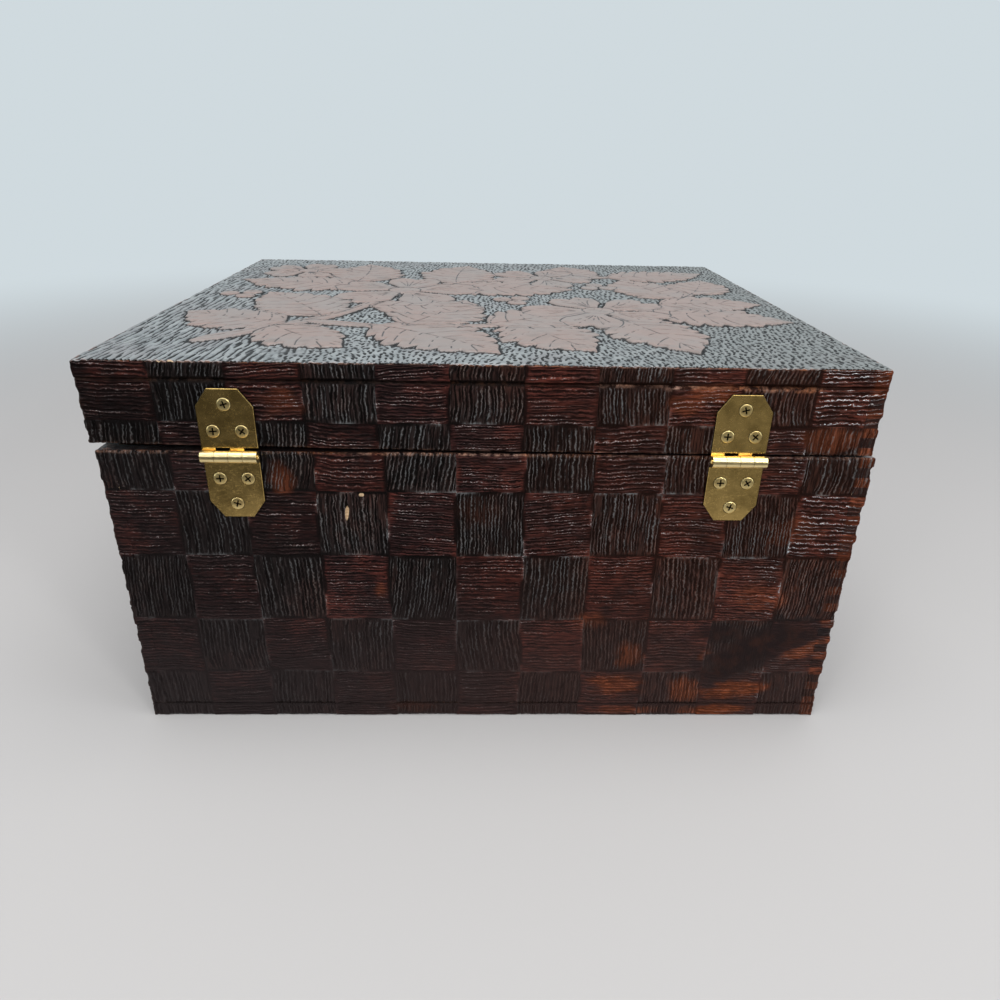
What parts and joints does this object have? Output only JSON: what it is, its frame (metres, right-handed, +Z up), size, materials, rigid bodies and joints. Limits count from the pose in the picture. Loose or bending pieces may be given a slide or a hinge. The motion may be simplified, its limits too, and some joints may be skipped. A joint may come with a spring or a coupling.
{
  "type": "lidded box",
  "caption": "Rectangular wooden box of thin finger-jointed boards, its walls carved in basket-weave checks, with a carved flat lid on surface-mounted brass hinges.",
  "frame": {"origin": "centre of the bottom board's underside, which stands on the table", "axes": "+X along the hinges, to the right when the hinge side is seen; +Y from the hinge side to the front; +Z up"},
  "size_m": [0.2897, 0.2527, 0.1574],
  "materials": {
    "carved_wall": "carved, burnt and stained dark red-brown, glossy varnish, bare pale wood inside",
    "top_board": "tooled grey-green ground with smooth pinkish-brown relief, varnished",
    "bottom_board": "bare pale wood with stained edges",
    "hinge_leaf": "bright lacquered",
    "hinge_pin": "bright lacquered",
    "hinge_screw": "bright plated",
    "brad_steel": "dull, slightly tarnished"
  },
  "bodies": {
    "body": {"bottom_panel": "bottom_board", "body_back_wall": "carved_wall", "body_front_wall": "carved_wall", "body_left_wall": "carved_wall", "body_right_wall": "carved_wall", "bottom_brads": "brad_steel", "left_hinge_body_leaf": "hinge_leaf", "left_hinge_pin": "hinge_pin", "left_hinge_body_screws": "hinge_screw", "right_hinge_body_leaf": "hinge_leaf", "right_hinge_pin": "hinge_pin", "right_hinge_body_screws": "hinge_screw"},
    "lid": {"top_panel": "top_board", "lid_back_wall": "carved_wall", "lid_front_wall": "carved_wall", "lid_left_wall": "carved_wall", "lid_right_wall": "carved_wall", "left_hinge_lid_leaf": "hinge_leaf", "left_hinge_lid_screws": "hinge_screw", "right_hinge_lid_leaf": "hinge_leaf", "right_hinge_lid_screws": "hinge_screw"}
  },
  "joints": [
    {"name": "lid_hinge", "type": "hinge", "parent": "body", "child": "lid", "pos_m": [-0.0017, -0.1265, 0.1223], "axis": [1, 0, 0], "range_deg": [0, 175]}
  ]
}
